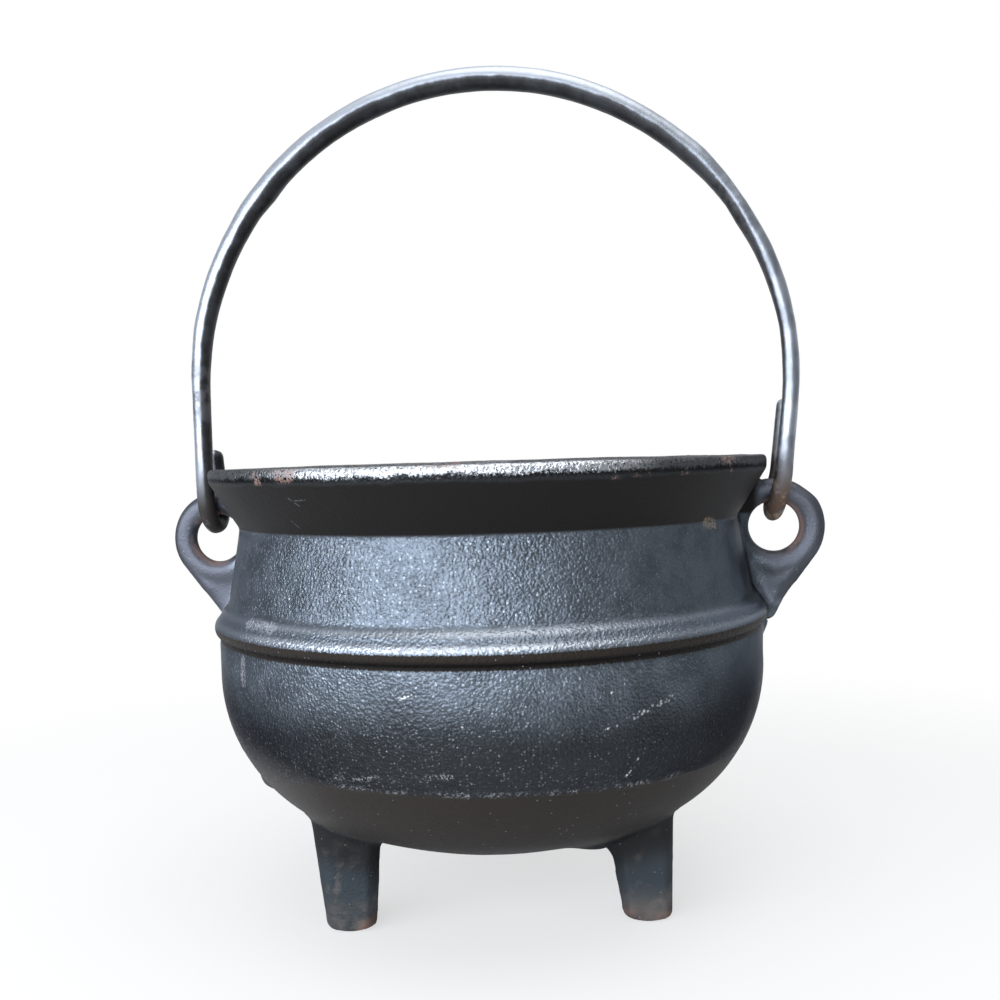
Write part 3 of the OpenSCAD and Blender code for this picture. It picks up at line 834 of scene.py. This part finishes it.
def forgedRod(look):
    material, tree = newMaterial("forgedRod")
    place = placeInMm(tree)
    across = addNode(tree, "SeparateXYZ", {0: place}).outputs["X"]
    grain = noiseOf(tree, place, 1.1, 3.0, 0.6)
    blotch = noiseOf(tree, place, 7, 4.0, 0.6)
    outer = maskOf(tree, "outerSide")
    ragged = calc(tree, "MULTIPLY", calc(tree, "SUBTRACT", blotch, 0.5), 0.16)
    # bright outer side: wear and painted highlight; dark inner side: painted shade
    wornAndLit = stepOf(tree, calc(tree, "ADD", outer, ragged), 0.42, 0.56)
    colour = mixColour(tree, stepOf(tree, blotch, 0.4, 0.66), look["dark"], look["plain"])
    colour = mixColour(tree, wornAndLit, colour, look["bright"])
    patina = calc(tree, "MULTIPLY", stepOf(tree, across, 30, 80), stepOf(tree, noiseOf(tree, place, 12, 3.0), 0.4, 0.6))
    colour = mixColour(tree, calc(tree, "MULTIPLY", patina, 0.35), colour, look["plain"])
    mottled = calc(tree, "MULTIPLY", maskOf(tree, "mottled"), stepOf(tree, blotch, 0.38, 0.56))
    colour = mixColour(tree, calc(tree, "MULTIPLY", mottled, 0.8), colour, look["mottle"])
    rustMask = calc(tree, "MULTIPLY", maskOf(tree, "hook"), stepOf(tree, blotch, 0.3, 0.5))
    rustColour = mixColour(tree, maskOf(tree, "rightHook"), look["darkRust"], look["rust"])
    colour = mixColour(tree, rustMask, colour, rustColour)
    tanMask = calc(tree, "MULTIPLY", maskOf(tree, "rightHook"), stepOf(tree, noiseOf(tree, place, 5, 3.0), 0.5, 0.62))
    colour = mixColour(tree, calc(tree, "MULTIPLY", tanMask, 0.8), colour, look["tan"])
    rustMask = calc(tree, "MAXIMUM", rustMask, tanMask)
    metallic = mixValue(tree, wornAndLit, 0.2, 0.9)
    metallic = mixValue(tree, rustMask, metallic, 0.1)
    roughness = mixValue(tree, stepOf(tree, grain, 0.3, 0.7), 0.36, 0.46)
    roughness = mixValue(tree, rustMask, roughness, 0.75)
    bump = addNode(tree, "Bump", {"Strength": 0.6, "Distance": 0.05 * mm, "Height": grain})
    settings = {"Base Color": colour, "Roughness": roughness, "Metallic": metallic, "Specular IOR Level": 0.35}
    shader = addNode(tree, "BsdfPrincipled", dict(settings, Normal=bump.outputs[0]))
    addNode(tree, "OutputMaterial", {"Surface": shader.outputs[0]})
    return material


bailPiece = forgeBail(bail)
markBail(bailPiece, bail)
bailPiece.data.materials.append(forgedRod(rod))
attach(bailPiece, "bail")
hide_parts("bail")
print("bail made,", len(bailPiece.data.polygons), "faces")


# floor, background and light

studio = {
    "floorR": 0.6,  # metres
    "floorFade": (0.2, 0.5),
    "floorShade": 0.95,
    "floorGlow": 0.62,  # share of plain white that the camera sees in the floor
    "roomShade": 0.45,
    "roomTint": (0.92, 0.96, 1, 1),
    "roomFront": 0.3,  # what the gloss sees of the room in front, ceiling and backdrop are white
    "lamps": {
        "window": {"turn": -28, "rise": 13, "away": 1.1, "size": (1.7, 0.6), "power": 18, "tint": (0.88, 0.95, 1.05)},
        "ceiling": {"turn": 20, "rise": 78, "away": 1.3, "size": (1.1, 1.1), "power": 8, "tint": (1, 0.99, 0.97)},
    },
}


def makeFloor(look):
    bm = bmesh.new()
    bmesh.ops.create_circle(bm, cap_ends=True, segments=96, radius=look["floorR"])
    bmesh.ops.translate(bm, verts=bm.verts, vec=(0, 0, -0.0002))
    mesh = bpy.data.meshes.new("floor")
    bm.to_mesh(mesh)
    bm.free()
    floor = newPiece("floor", mesh)
    material, tree = newMaterial("paleFloor")
    place = addNode(tree, "TexCoord").outputs["Object"]
    away = addNode(tree, "VectorMath", {0: place}, operation="LENGTH").outputs["Value"]
    fade = stepOf(tree, away, *look["floorFade"])
    dust = noiseOf(tree, place, 0.3, 2.0)
    shade = mixColour(tree, dust, grey(look["floorShade"]), grey(look["floorShade"] * 0.98))
    matte = addNode(tree, "BsdfDiffuse", {"Color": shade})
    clear = addNode(tree, "BsdfTransparent")
    white = addNode(tree, "Emission", {"Color": (1, 1, 1, 1), "Strength": 1.0})
    seen = addNode(tree, "LightPath").outputs["Is Camera Ray"]
    share = calc(tree, "MULTIPLY", seen, look["floorGlow"])
    lit = addNode(tree, "MixShader", {0: share, 1: matte.outputs[0], 2: white.outputs[0]})
    blend = addNode(tree, "MixShader", {0: fade, 1: lit.outputs[0], 2: clear.outputs[0]})
    addNode(tree, "OutputMaterial", {"Surface": blend.outputs[0]})
    mesh.materials.append(material)


def makeRoom(look):
    world = bpy.data.worlds.new("room")
    world.use_nodes = True
    tree = world.node_tree
    tree.nodes.clear()
    path = addNode(tree, "LightPath")
    way = addNode(tree, "TexCoord").outputs["Generated"]
    axes = addNode(tree, "SeparateXYZ", {0: way})
    behind = calc(tree, "MAXIMUM", stepOf(tree, axes.outputs["Y"], -0.1, 0.8), stepOf(tree, axes.outputs["Z"], 0.4, 0.9))
    mirrored = calc(tree, "MAXIMUM", path.outputs["Is Glossy Ray"], path.outputs["Is Transmission Ray"])
    strength = mixValue(tree, mirrored, look["roomShade"], mixValue(tree, behind, look["roomFront"], 1.0))
    strength = mixValue(tree, path.outputs["Is Camera Ray"], strength, 1.0)
    shade = mixColour(tree, path.outputs["Is Camera Ray"], look["roomTint"], (1, 1, 1, 1))
    room = addNode(tree, "Background", {"Color": shade, "Strength": strength})
    addNode(tree, "OutputWorld", {"Surface": room.outputs[0]})
    scene.world = world


def makeLamps(look):
    aim = Vector((0, 0, 0.12))
    for name, spec in look["lamps"].items():
        lamp = bpy.data.lights.new(name, "AREA")
        lamp.shape = "RECTANGLE"
        lamp.size, lamp.size_y = spec["size"]
        lamp.energy = spec["power"]
        lamp.color = spec["tint"]
        turn, rise = radians(spec["turn"]), radians(spec["rise"])
        way = Vector((sin(turn) * cos(rise), -cos(turn) * cos(rise), sin(rise)))
        holder = bpy.data.objects.new(name, lamp)
        holder.location = aim + way * spec["away"]
        holder.rotation_euler = way.to_track_quat("Z", "Y").to_euler()
        scene.collection.objects.link(holder)


makeFloor(studio)
makeRoom(studio)
makeLamps(studio)
scene.view_settings.view_transform = "Standard"
print("floor, room and lamps set")
